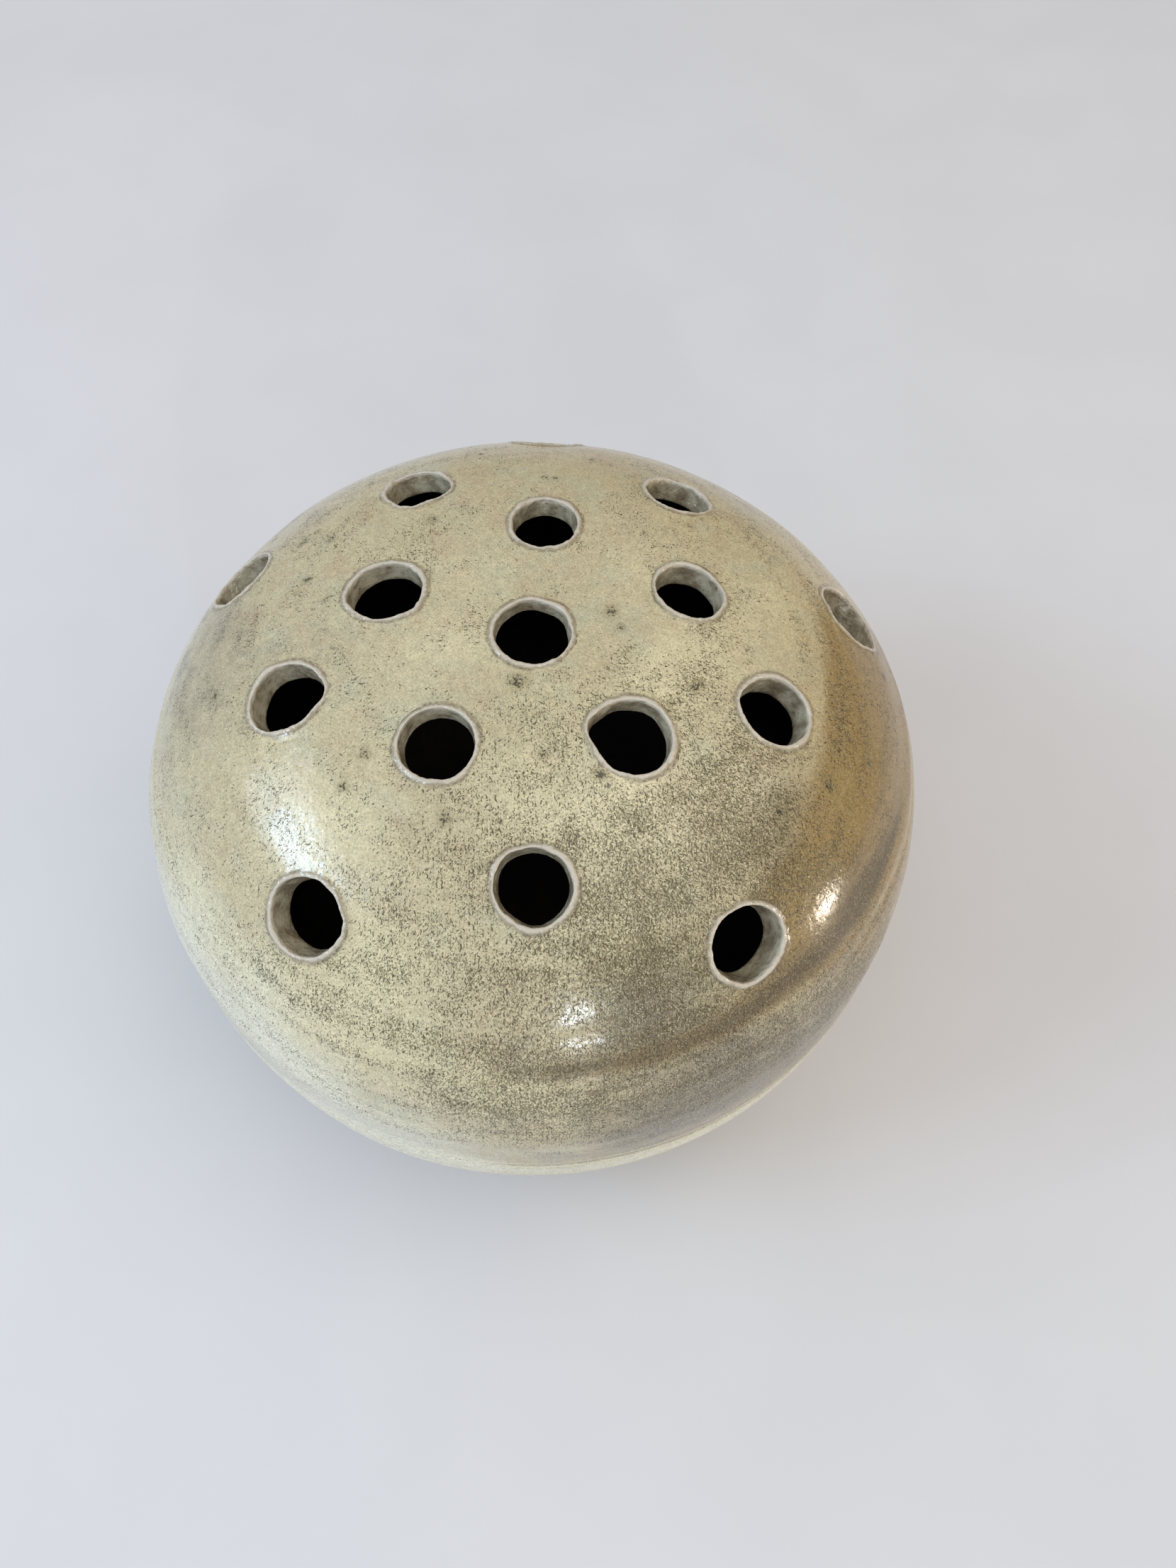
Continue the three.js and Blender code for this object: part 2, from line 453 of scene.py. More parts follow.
def pullEdge(piece, hole):  # where the knife went astray
    for angle, pull in hole["pulls"]:
        toward = Vector((math.cos(math.radians(angle)), math.sin(math.radians(angle)), 0))
        near = hole["mouth"] * mm * toward
        selectVertices(piece, lambda vertex: (vertex.co - near).length < collar["pinch"] * mm)
        bpy.ops.transform.translate(
            value=toward * pull * mm, use_proportional_edit=True, proportional_edit_falloff="SMOOTH",
            proportional_size=collar["pullReach"] * mm)


def cutFlatCollar(name, hole, rings):
    deselectAll()
    bpy.ops.mesh.primitive_circle_add(vertices=collar["sides"], radius=rings[0][0] * mm, location=(0, 0, 0))
    piece = nameActive("lip_" + name)
    bpy.ops.object.mode_set(mode="EDIT")
    bpy.ops.mesh.select_all(action="SELECT")
    for before, after in zip(rings, rings[1:]):
        bpy.ops.mesh.extrude_region_move()
        scale = after[0] / before[0]
        bpy.ops.transform.resize(value=(scale, scale, 1), center_override=(0, 0, 0))
    pullEdge(piece, hole)
    bpy.ops.mesh.select_all(action="SELECT")
    bpy.ops.transform.resize(value=(1, hole["tall"], 1), center_override=(0, 0, 0))
    bpy.ops.object.mode_set(mode="OBJECT")
    return piece


def dropOnDome(piece, hole, wholeDome):
    piece.matrix_world = holePlace(hole) @ Matrix.Translation((0, 0, collar["lift"] * mm))
    useModifier(piece, "SHRINKWRAP", target=wholeDome, wrap_method="PROJECT", wrap_mode="ON_SURFACE",
                use_project_z=True, use_negative_direction=True, use_positive_direction=False)
    pickUp(piece)
    bpy.ops.object.transform_apply(location=True, rotation=True, scale=True)


def raiseRings(piece, hole, rings):  # each ring to its height; then the last joins the first
    sides = collar["sides"]
    outOfHole = holePlace(hole).to_3x3() @ Vector((0, 0, 1))
    bpy.ops.object.mode_set(mode="EDIT")
    for number, ring in enumerate(rings):
        selectVertices(piece, lambda vertex: number * sides <= vertex.index < (number + 1) * sides)
        bpy.ops.transform.translate(value=outOfHole * ring[1] * mm)
    last = (len(rings) - 1) * sides
    selectVertices(piece, lambda vertex: vertex.index < sides or vertex.index >= last)
    bpy.ops.mesh.bridge_edge_loops()
    bpy.ops.mesh.select_all(action="SELECT")
    bpy.ops.mesh.normals_make_consistent(inside=False)
    bpy.ops.object.mode_set(mode="OBJECT")


def markRings(piece, hole, rings):  # for the unevenness and the glaze
    sides = collar["sides"]
    wander = piece.vertex_groups.new(name="wander")
    for number, ring in enumerate(rings):
        wander.add(list(range(number * sides, (number + 1) * sides)), ring[2], "REPLACE")
    across = piece.data.attributes.new("lipPlace", "FLOAT", "POINT")
    across.data.foreach_set("value", [ring[3] for ring in rings for side in range(sides)])
    deep = piece.data.attributes.new("lipDepth", "FLOAT", "POINT")
    deep.data.foreach_set("value", [wallDepth(hole) + hole["burr"]] * len(piece.data.vertices))


def layCollar(name, hole, wholeDome):
    rings = collarRings(hole)
    piece = cutFlatCollar(name, hole, rings)
    dropOnDome(piece, hole, wholeDome)
    raiseRings(piece, hole, rings)
    markRings(piece, hole, rings)
    for unevenness in ("wander", "lumps", "grains"):
        if unevenness == "grains":
            useModifier(piece, "SUBSURF", levels=1, render_levels=1)
        roughen(piece, unevenness, "wander", *collar[unevenness])
    return piece


# Where the glaze ran thick, thin, speckled or brown, and where painted sheen is laid on as a pale glaze
glaze = {
    "patchFall": 1.4,  # how quickly a patch falls off within its reach
    "bandFade": 14,  # degrees over which the end of a band fades
    "spotReach": 2.4,  # an iron spot's halo, in sizes of the spot
    # Patches on the dome, seen from above: x, y, reach and strength, which may be negative
    "specked": [
        (8, -44, 26, 0.5), (37, -40, 15, 0.85), (24, -64, 20, 0.65), (-6, -70, 22, 0.35),
        (46, -52, 14, 0.5), (22, -14, 15, 0.22), (33, -16, 9, 0.3), (-14, -22, 8, 0.2),
        (44, -22, 13, 0.35), (-30, -60, 16, 0.3), (17, -8, 6, 0.3), (-12, 3, 6, 0.25),
        (66, -12, 15, 0.2), (58, -42, 13, 0.25), (-8, 34, 44, -0.16), (-42, -2, 26, -0.15),
        (22, 8, 14, -0.15),
    ],
    "cream": [
        (-40, -41, 16, 0.8), (-52, -22, 12, 0.4), (-18, -6, 13, 0.6), (0, -37, 17, 0.75),
        (38, -5, 15, 0.55), (20, 17, 14, 0.45), (37, -56, 8, 0.5), (20, -40, 15, 0.8),
        (-8, 18, 12, 0.35), (-30, -66, 18, 0.7), (24, -14, 14, 0.8), (48, 12, 12, 0.35),
        (-27, 14, 9, 0.3), (36, -34, 9, 0.5), (0, -62, 12, 0.5),
    ],
    "warm": [
        (68, -12, 17, 0.7), (61, -34, 17, 0.65), (46, -62, 12, 0.5), (68, 6, 15, 0.45),
        (-22, 46, 26, 0.20), (20, 56, 22, 0.25), (-58, 22, 20, 0.15), (56, -50, 12, 0.5),
    ],
    "grey": [
        (-25, -34, 10, 0.2), (22, -72, 14, 0.7), (48, -46, 13, 0.7), (-42, 2, 16, 0.15),
        (30, -60, 12, 0.35), (36, -76, 14, 0.7), (-68, -2, 24, 0.4), (-74, 18, 20, 0.35),
        (18, -78, 10, 0.5), (60, -54, 14, 0.6), (50, -30, 9, 0.35), (-56, 48, 20, 0.3),
        (52, 50, 20, 0.3),
    ],
    # Bands around the vase: from turn, to turn, height, half width and strength
    "warmBands": [
        (-88, 14, 104, 3.4, 0.85), (-56, 14, 112, 5.5, 0.85), (-56, 14, 119, 2.8, 0.4),
        (-44, 16, 94, 13, 0.7), (96, 150, 100, 5, 0.35), (60, 128, 84, 6, 0.3),
        (30, 80, 108, 4, 0.3), (150, 176, 92, 5, 0.25),
    ],
    "speckedBands": [
        (-104, -30, 93, 11, 0.42), (-115, -50, 98, 4, 0.25), (-140, -60, 106, 4, 0.4),
        (-180, 180, 57, 13, -0.5), (70, 160, 92, 9, 0.35), (20, 60, 84, 8, 0.3),
    ],
    "creamBands": [
        (-200, -84, 97, 7, 0.65), (-160, -96, 106, 5, 0.6), (-70, -20, 99.2, 1.2, 0.3),
        (20, 175, 106, 7, 0.5), (40, 150, 78, 8, 0.4), (-40, 40, 62, 8, 0.5),
    ],
    "greyBands": [
        (-84, -26, 86, 14, 0.75), (-80, -34, 78, 9, 0.5), (-96, -24, 66, 9, 0.45),
        # The narrow bands at 64, 60.4 and 54 lie in the turning grooves: glaze pooled there, and painted
        # shade
        (-170, -20, 64.0, 0.5, 0.6), (-170, -20, 60.4, 0.5, 0.6), (-170, -20, 54, 0.6, 0.5),
    ],
    "burnt": [(62, -48, 9, 0.3), (70, -20, 12, 0.2)],
    "burntBands": [
        (-94, -14, 103.8, 2.2, 0.6), (-66, -24, 104.2, 2.6, 0.35), (-60, -26, 109, 4, 0.3),
        (-40, 8, 111, 5, 0.15),
    ],
    # Pale zones: painted sheen, the table and the window reflected along the lower belly and the left side,
    # laid on as a milky glaze colour
    "milkyAndSheen": [(-70, -45, 14, 0.4), (-55, -62, 12, 0.4)],
    "milkyAndSheenBands": [
        (-166, -120, 86, 11, 0.9), (-126, -98, 80, 14, 0.6), (-180, -100, 62, 10, 0.9),
        # The narrow bands at 66 and 62.2 lie on the turning ridges: thinner glaze there, and a painted
        # highlight
        (-170, -20, 56, 8, 0.8), (-170, -20, 66.0, 0.6, 0.4), (-170, -20, 62.2, 0.6, 0.4),
        (60, 170, 52, 12, 0.6), (-20, 60, 40, 12, 0.5),
    ],
    # Iron spots bled through from the clay: x, y and size
    "spots": [
        (-50.7, 32.7, 1.5), (-47.8, 35.2, 1.1), (-44, 30.5, 1.4), (-48, 18.5, 1.3),
        (-37.5, 52.8, 0.9), (-3.7, -13.8, 1.9), (15.6, 3.6, 1.5), (17.4, -0.4, 1.0),
        (34.5, 31.5, 1.2), (-21.7, 31.5, 1.4), (32, -13.5, 1.7), (2.6, 46, 1.0), (5.2, 45.6, 1.0),
        (-33, -27, 1.4), (1.2, -29.6, 1.2), (58.5, -30, 1.8), (-17.5, -41, 1.6), (12, -33.5, 1.5),
        (47, -37.5, 1.5), (78, 4, 1.5), (14, 56, 1.0), (-12, 60, 1.0), (-37, -33, 1.3),
        (-8.5, -50, 1.2), (24, 27, 0.8), (-33.5, 14, 0.8), (5, -57, 1.0), (69, -22, 1.2),
        (-66, -6, 1.2), (-60, 42, 1.3), (40, 66, 1.4), (8, 76, 1.2), (-30, 74, 1.1), (72, 32, 1.3),
        (-3.4, 5.6, 0.8), (-1.9, 6.1, 0.6), (10.6, -22.6, 0.7), (46.8, -61, 0.9),
    ],
}


def zoneStrength(places, patches, bands):
    strength = np.zeros(len(places))
    for x, y, reach, most in patches:
        height = domeHeight(math.hypot(x, y))
        away = np.linalg.norm(places - np.array((x, y, height)), axis=1) / reach
        strength += most * np.exp(-(away ** 2) * glaze["patchFall"])
    turns = np.degrees(np.arctan2(places[:, 1], places[:, 0]))
    for start, end, height, width, most in bands:
        middle, half = (start + end) / 2, (end - start) / 2
        off = np.abs((turns - middle + 180) % 360 - 180)
        inArc = np.clip((half - off) / glaze["bandFade"] + 0.5, 0, 1)
        strength += most * inArc * np.exp(-(((places[:, 2] - height) / width) ** 2))
    return strength


def dipInGlaze(piece):  # stores the zones on the mesh, for the glaze materials
    count = len(piece.data.vertices)
    places = np.empty(count * 3)
    piece.data.vertices.foreach_get("co", places)
    places = places.reshape(-1, 3) / mm
    zones = np.zeros((count, 4))
    for channel, zone in enumerate(("specked", "cream", "warm", "grey")):
        zones[:, channel] = zoneStrength(places, glaze[zone], glaze[zone + "Bands"])
    stored = piece.data.attributes.new("glazeZones", "FLOAT_COLOR", "POINT")
    stored.data.foreach_set("color", zones.astype(np.float32).ravel())
    for zone in ("milkyAndSheen", "burnt"):
        stored = piece.data.attributes.new(zone + "Glaze", "FLOAT", "POINT")
        strength = zoneStrength(places, glaze[zone], glaze[zone + "Bands"])
        stored.data.foreach_set("value", strength.astype(np.float32))
    spots = np.zeros(count)
    for x, y, size in glaze["spots"]:
        spot = np.array((x, y, domeHeight(math.hypot(x, y))))
        reach = glaze["spotReach"] * size
        spots = np.maximum(spots, 1 - np.linalg.norm(places - spot, axis=1) / reach)
    stored = piece.data.attributes.new("ironSpots", "FLOAT", "POINT")
    stored.data.foreach_set("value", np.clip(spots, 0, 1).astype(np.float32))


# Materials
colours = {  # scene-linear
    "ground": (0.55, 0.48, 0.30, 1),
    "tan": (0.50, 0.39, 0.245, 1),
    "celadon": (0.49, 0.49, 0.35, 1),
    "cream": (0.68, 0.605, 0.385, 1),
    "grey": (0.185, 0.16, 0.115, 1),
    "warm": (0.31, 0.22, 0.093, 1),
    "burnt": (0.095, 0.068, 0.028, 1),
    # Pale colour of the painted sheen
    "milkyAndSheen": (0.77, 0.745, 0.58, 1),
    "matrix": (0.19, 0.152, 0.07, 1),
    "fleck": (0.80, 0.74, 0.50, 1),
    "speck": (0.055, 0.04, 0.006, 1),
    "warmSpeck": (0.055, 0.03, 0.003, 1),
    "spotHalo": (0.22, 0.18, 0.08, 1),
    "spotCore": (0.03, 0.022, 0.006, 1),
    # lip is the pale crest, partly a painted highlight; lipShade is the darker flank
    "lip": (0.56, 0.505, 0.41, 1),
    "lipShade": (0.34, 0.29, 0.20, 1),
    # Dark line at the lip's foot: dark glaze and painted shade
    "lipLineAndShade": (0.16, 0.125, 0.08, 1),
    # Hole walls: their colour is kept darker, partly as painted shade down the holes; throatShade streaks
    # it at random
    "shadedThroat": (0.42, 0.38, 0.275, 1),
    "throatShade": (0.17, 0.135, 0.085, 1),
    # Painted shade: near-black stands in for the shade inside the closed vase, a little lighter in patches
    "paintedShade": (0.006, 0.003, 0.003, 1),
    "paintedShadeLighter": (0.014, 0.007, 0.005, 1),
    "clay": (0.30, 0.20, 0.125, 1),
    "sand": (0.42, 0.31, 0.21, 1),
    "toast": (0.30, 0.13, 0.05, 1),
}


def newMaterial(name):  # the material, its node tree and the place on the piece
    material = bpy.data.materials.new(name)
    material.use_nodes = True
    tree = material.node_tree
    tree.nodes.clear()
    return material, tree, addNode(tree, "ShaderNodeTexCoord").outputs["Object"]


def plug(tree, node, key, value):  # a value set on a socket, or another node linked to it
    if isinstance(value, bpy.types.NodeSocket):
        tree.links.new(value, node.inputs[key])
    else:
        node.inputs[key].default_value = value


def addNode(tree, kind, sockets=None, **settings):
    node = tree.nodes.new(kind)
    for setting, value in settings.items():
        setattr(node, setting, value)
    for key, value in (sockets or {}).items():
        plug(tree, node, key, value)
    return node


def attribute(tree, name):
    return addNode(tree, "ShaderNodeAttribute", attribute_name=name).outputs["Fac"]


def calc(tree, operation, *values, clamp=False):
    sockets = dict(enumerate(values))
    return addNode(tree, "ShaderNodeMath", sockets, operation=operation, use_clamp=clamp).outputs[0]


def calcVector(tree, operation, *values):
    node = addNode(tree, "ShaderNodeVectorMath", dict(enumerate(values)), operation=operation)
    return node.outputs["Value" if operation == "DOT_PRODUCT" else "Vector"]


def soften(tree, value, low, high, toLow=0.0, toHigh=1.0):  # a smooth step from low to high
    sockets = {"Value": value, "From Min": low, "From Max": high, "To Min": toLow, "To Max": toHigh}
    return addNode(tree, "ShaderNodeMapRange", sockets, interpolation_type="SMOOTHSTEP").outputs["Result"]


def times(tree, one, other):
    return calc(tree, "MULTIPLY", one, other)


def swayed(tree, value, pattern, gain):  # raised and lowered by a pattern between 0 and 1
    return calc(tree, "MULTIPLY_ADD", calc(tree, "SUBTRACT", pattern, 0.5), gain, value)


def ringed(tree, value, rings, gain):
    return times(tree, value, calc(tree, "MULTIPLY_ADD", rings, gain, 1.0))


def mixColour(tree, share, below, above, how="MIX"):
    node = addNode(tree, "ShaderNodeMix", {0: share}, data_type="RGBA", blend_type=how)
    plug(tree, node, 6, below)
    plug(tree, node, 7, above)
    return node.outputs[2]


def dimmed(tree, colour, share):
    tone = addNode(tree, "ShaderNodeCombineColor", {0: share, 1: share, 2: share}).outputs[0]
    return mixColour(tree, 1.0, colour, tone, "MULTIPLY")


def askew(tree, point):  # turns the grid of a noise away from the axes
    return addNode(tree, "ShaderNodeMapping", {"Vector": point, "Rotation": (0.5, 0.3, 0.8)}).outputs[0]


def noise(tree, point, size, detail=2.0, roughness=0.5):  # size in millimetres
    sockets = {"Vector": askew(tree, point), "Scale": 1 / (size * mm), "Detail": detail}
    return addNode(tree, "ShaderNodeTexNoise", {**sockets, "Roughness": roughness}).outputs["Fac"]


def giveSurface(tree, colour, rough, relief, bump, **more):
    strength, depth = bump  # of the relief; depth in millimetres
    bumped = addNode(tree, "ShaderNodeBump", {
        "Height": relief, "Strength": strength, "Distance": depth * mm})
    sockets = {"Base Color": colour, "Roughness": rough, "Normal": bumped.outputs["Normal"], **more}
    shader = addNode(tree, "ShaderNodeBsdfPrincipled", sockets)
    addNode(tree, "ShaderNodeOutputMaterial", {"Surface": shader.outputs["BSDF"]})


# The pattern of the ash glaze. Sizes in millimetres, shifts in metres.
ashPattern = {
    "clouds": 16,
    "patches": 6.5,
    "rings": 2.6,
    "fray": 0.55,  # size and reach of what frays the edges of all specks
    "tan": {"size": 8, "shift": (0.2, 0.1, 0.3)},
    "celadon": {"size": 11, "shift": (0.5, 0.7, 0.1)},
    "worms": 0.40,  # the fine dark mesh between the specks
    "mottle": 0.42,
    "tones": 1.8,
    "ripples": 2.2,
    "spotEdge": 0.55,
    # Where the specks are: how much the patches, clouds and rings sway it, and how many there are anyway
    "specked": {"patches": 1.1, "clouds": 0.7, "rings": 1.3, "always": 0.13},
    # Specks sit one to a cell. share is how many cells hold one: where the glaze is plain, and how many
    # more where it is specked. stray is how far they turn off the slope, and shift tells the kinds apart.
    "ticks": {
        "cell": 0.50, "length": 0.25, "width": 0.075, "share": (0.05, 0.95), "stray": 2.4,
        "shift": (0, 0, 0)},
    "streaks": {
        "cell": 0.85, "length": 0.45, "width": 0.10, "share": (-0.04, 0.8), "stray": 1.5,
        "shift": (0.013, 0.027, 0.041)},
    "flecks": {
        "cell": 0.46, "length": 0.27, "width": 0.085, "share": (0.42, 0.30), "stray": 2.4,
        "shift": (0.031, 0.017, 0.023)},
    "rough": 0.17,
    "speckRough": 0.15,
    "mottleRough": 0.12,
    "bump": (1.0, 0.24),  # strength, depth
    "refraction": 1.57,
}


def specks(tree, kind, point, downhill, around, density):  # long specks that run down the slope
    point = calcVector(tree, "ADD", point, kind["shift"])
    cells = addNode(tree, "ShaderNodeTexVoronoi", {"Vector": point, "Scale": 1 / (kind["cell"] * mm)})
    chance = addNode(tree, "ShaderNodeSeparateColor", {"Color": cells.outputs["Color"]})
    offset = calcVector(tree, "SUBTRACT", point, cells.outputs["Position"])
    down = calcVector(tree, "DOT_PRODUCT", offset, downhill)
    side = calcVector(tree, "DOT_PRODUCT", offset, around)
    angle = times(tree, calc(tree, "SUBTRACT", chance.outputs["Blue"], 0.5), kind["stray"])
    cosine, sine = calc(tree, "COSINE", angle), calc(tree, "SINE", angle)
    along = calc(tree, "ADD", times(tree, down, cosine), times(tree, side, sine))
    across = calc(tree, "SUBTRACT", times(tree, side, cosine), times(tree, down, sine))
    size = calc(tree, "MULTIPLY_ADD", chance.outputs["Green"], 0.9, 0.55)
    far = calc(tree, "ADD", calc(tree, "POWER", calc(tree, "DIVIDE", along, kind["length"] * mm), 2.0),
               calc(tree, "POWER", calc(tree, "DIVIDE", across, kind["width"] * mm), 2.0))
    inside = soften(tree, calc(tree, "SQRT", far), times(tree, size, 1.15),
                    times(tree, size, 0.7))
    least, more = kind["share"]
    share = calc(tree, "MULTIPLY_ADD", density, more, least)
    there = soften(tree, calc(tree, "SUBTRACT", share, chance.outputs["Red"]), -0.02, 0.06)
    return times(tree, inside, there)


def ashGlaze(tree, point):  # returns its colour, how rough it is and its relief
    pattern = ashPattern
    zones = addNode(tree, "ShaderNodeAttribute", attribute_name="glazeZones").outputs
    zone = addNode(tree, "ShaderNodeSeparateColor", {"Color": zones["Color"]}).outputs
    iron = attribute(tree, "ironSpots")
    cloudy = noise(tree, point, pattern["clouds"], 3)
    patchy = noise(tree, point, pattern["patches"], 3)
    level = addNode(tree, "ShaderNodeMapping", {"Vector": point, "Scale": (0.08, 0.08, 1)}).outputs[0]
    rings = addNode(tree, "ShaderNodeTexNoise", {
        "Vector": level, "Scale": 1 / (pattern["rings"] * mm), "Detail": 3.0}).outputs["Fac"]
    rings = calc(tree, "SUBTRACT", rings, 0.5)

    # Specks
    normal = addNode(tree, "ShaderNodeNewGeometry").outputs["Normal"]
    around = calcVector(tree, "NORMALIZE", calcVector(tree, "CROSS_PRODUCT", (0, 0, 1), point))
    downhill = calcVector(tree, "NORMALIZE", calcVector(tree, "CROSS_PRODUCT", normal, around))
    fray = pattern["fray"] * mm
    frayer = addNode(tree, "ShaderNodeTexNoise", {
        "Vector": askew(tree, point), "Scale": 1 / fray, "Detail": 1.0}).outputs["Color"]
    frayed = addNode(tree, "ShaderNodeVectorMath", {
        0: calcVector(tree, "SUBTRACT", frayer, (0.5, 0.5, 0.5)), "Scale": fray}, operation="SCALE")
    frayed = calcVector(tree, "ADD", point, frayed.outputs["Vector"])
    where = pattern["specked"]
    density = swayed(tree, zone["Red"], patchy, where["patches"])
    density = swayed(tree, density, cloudy, where["clouds"])
    density = calc(tree, "MULTIPLY_ADD", rings, where["rings"], density)
    density = calc(tree, "ADD", density, where["always"], clamp=True)
    ticks, streaks, flecks = (
        specks(tree, pattern[kind], frayed, downhill, around, density)
        for kind in ("ticks", "streaks", "flecks"))
    darker = calc(tree, "MAXIMUM", ticks, streaks)

    # The ground, from its palest tones to the burnt rings
    # Painted sheen: paler where the table and the window are reflected
    milkyAndSheen = swayed(tree, attribute(tree, "milkyAndSheenGlaze"), patchy, 0.5)
    creamy = swayed(tree, zone["Green"], cloudy, 1.2)
    greyish = ringed(tree, swayed(tree, zones["Alpha"], patchy, 0.8), rings, 0.9)
    warmth = ringed(tree, swayed(tree, zone["Blue"], cloudy, 0.35), rings, 2.0)
    burnt = ringed(tree, attribute(tree, "burntGlaze"), rings, 1.6)
    tanner, greener = (
        noise(tree, calcVector(tree, "ADD", point, pattern[tone]["shift"]), pattern[tone]["size"], 3, 0.6)
        for tone in ("tan", "celadon"))
    colour = colours["ground"]
    for share, tone in (
            (soften(tree, tanner, 0.45, 0.75, 0, 0.75), "tan"),
            (soften(tree, greener, 0.48, 0.75, 0, 0.7), "celadon"),
            (soften(tree, creamy, 0.0, 1.0), "cream"),
            (soften(tree, greyish, 0.0, 1.1), "grey"),
            (soften(tree, warmth, 0.0, 1.0), "warm"),
            (soften(tree, milkyAndSheen, 0.0, 1.0), "milkyAndSheen"),
            (soften(tree, burnt, 0.0, 1.0, 0, 0.9), "burnt")):
        colour = mixColour(tree, share, colour, colours[tone])
    longer = addNode(tree, "ShaderNodeMapping", {"Vector": frayed, "Scale": (1, 1, 0.5)}).outputs[0]
    worms = calc(tree, "MULTIPLY_ADD", density, 0.30, noise(tree, longer, pattern["worms"], 2, 0.6))
    colour = mixColour(tree, soften(tree, worms, 0.66, 0.80, 0, 0.75), colour, colours["matrix"])
    mottle = noise(tree, frayed, pattern["mottle"], 3, 0.7)
    tones = soften(tree, noise(tree, point, pattern["tones"], 2), 0.3, 0.7, 0.93, 1.06)
    colour = dimmed(tree, colour, times(tree, soften(tree, mottle, 0.34, 0.68, 0.76, 1.18), tones))

    # The specks and the iron spots over it
    flecked = times(tree, flecks, soften(tree, warmth, 0.2, 0.8, 0.45, 0.2))
    colour = mixColour(tree, flecked, colour, colours["fleck"])
    speckColour = mixColour(tree, soften(tree, warmth, 0.2, 0.8), colours["speck"], colours["warmSpeck"])
    colour = mixColour(tree, times(tree, darker, 0.9), colour, speckColour)
    ragged = swayed(tree, iron, noise(tree, point, pattern["spotEdge"], 3, 0.65), 1.7)
    colour = mixColour(tree, soften(tree, iron, 0.25, 0.85, 0, 0.4), colour, colours["spotHalo"])
    core = times(tree, soften(tree, ragged, 0.74, 0.9, 0, 0.9), soften(tree, iron, 0.3, 0.5))
    colour = mixColour(tree, core, colour, colours["spotCore"])

    rough = calc(tree, "MULTIPLY_ADD", darker, pattern["speckRough"], pattern["rough"])
    rough = swayed(tree, rough, mottle, pattern["mottleRough"])
    relief = times(tree, noise(tree, point, pattern["ripples"], 2), 0.35)
    for speck, proud in ((flecks, 0.16), (darker, -0.2), (core, -0.2)):
        relief = calc(tree, "MULTIPLY_ADD", speck, proud, relief)
    return colour, rough, relief


def glazed(tree, colour, rough, relief, **more):  # a clear, glassy surface over the colour
    giveSurface(tree, colour, rough, relief, ashPattern["bump"], IOR=ashPattern["refraction"], **more)


# Where the glaze ends above the foot, in millimetres above the table: from full to none
glazeLine = {
    "waves": (7, 2.4),  # size, height
    "toasted": (7.4, 6.2),
    "bare": (6.0, 5.6),
    "bareRough": 0.5,
}


def ashGlazeMaterial():
    material, tree, point = newMaterial("ashGlaze")
    colour, rough, relief = ashGlaze(tree, point)
    height = addNode(tree, "ShaderNodeSeparateXYZ", {"Vector": point}).outputs["Z"]
    size, tall = glazeLine["waves"]
    edge = swayed(tree, height, noise(tree, point, size, 3), tall * mm)
    toasted, bare = (
        soften(tree, edge, *(border * mm for border in glazeLine[line])) for line in ("toasted", "bare"))
    colour = mixColour(tree, toasted, colour, colours["toast"])
    colour = mixColour(tree, bare, colour, colours["clay"])
    rough = calc(tree, "MULTIPLY_ADD", bare, glazeLine["bareRough"], rough)
    glazed(tree, colour, rough, relief)
    return material


# The glaze on the collars, in millimetres across the lip: outside is negative, 0 is the edge of the mouth
lipPattern = {
    "stray": (2.6, 1.0),  # how the borders below stray: size, strength
    "fine": 0.8,
    "line": (-1.9, -1.3, -0.8, -1.0),  # a dark line where the lip meets the speckled glaze, partly dark glaze and partly painted shade at the lip's foot: in, then out
    "edge": (-1.2, -1.0),
    "crownAndHighlight": (-1.0, -0.5),  # where the lip is palest: a painted highlight along its crest
    # where the hole's wall starts, with its partly painted shade
    "shadedThroat": (0.1, 0.7),
    "past": (0.6, 0.95),  # beyond the end of the wall, where it gets the inside's painted shade
    "streaks": 3.2,
    "pepper": 0.6,
    "smooth": 1.2,
    "rough": (0.2, 0.2, 0.2, 1),
}


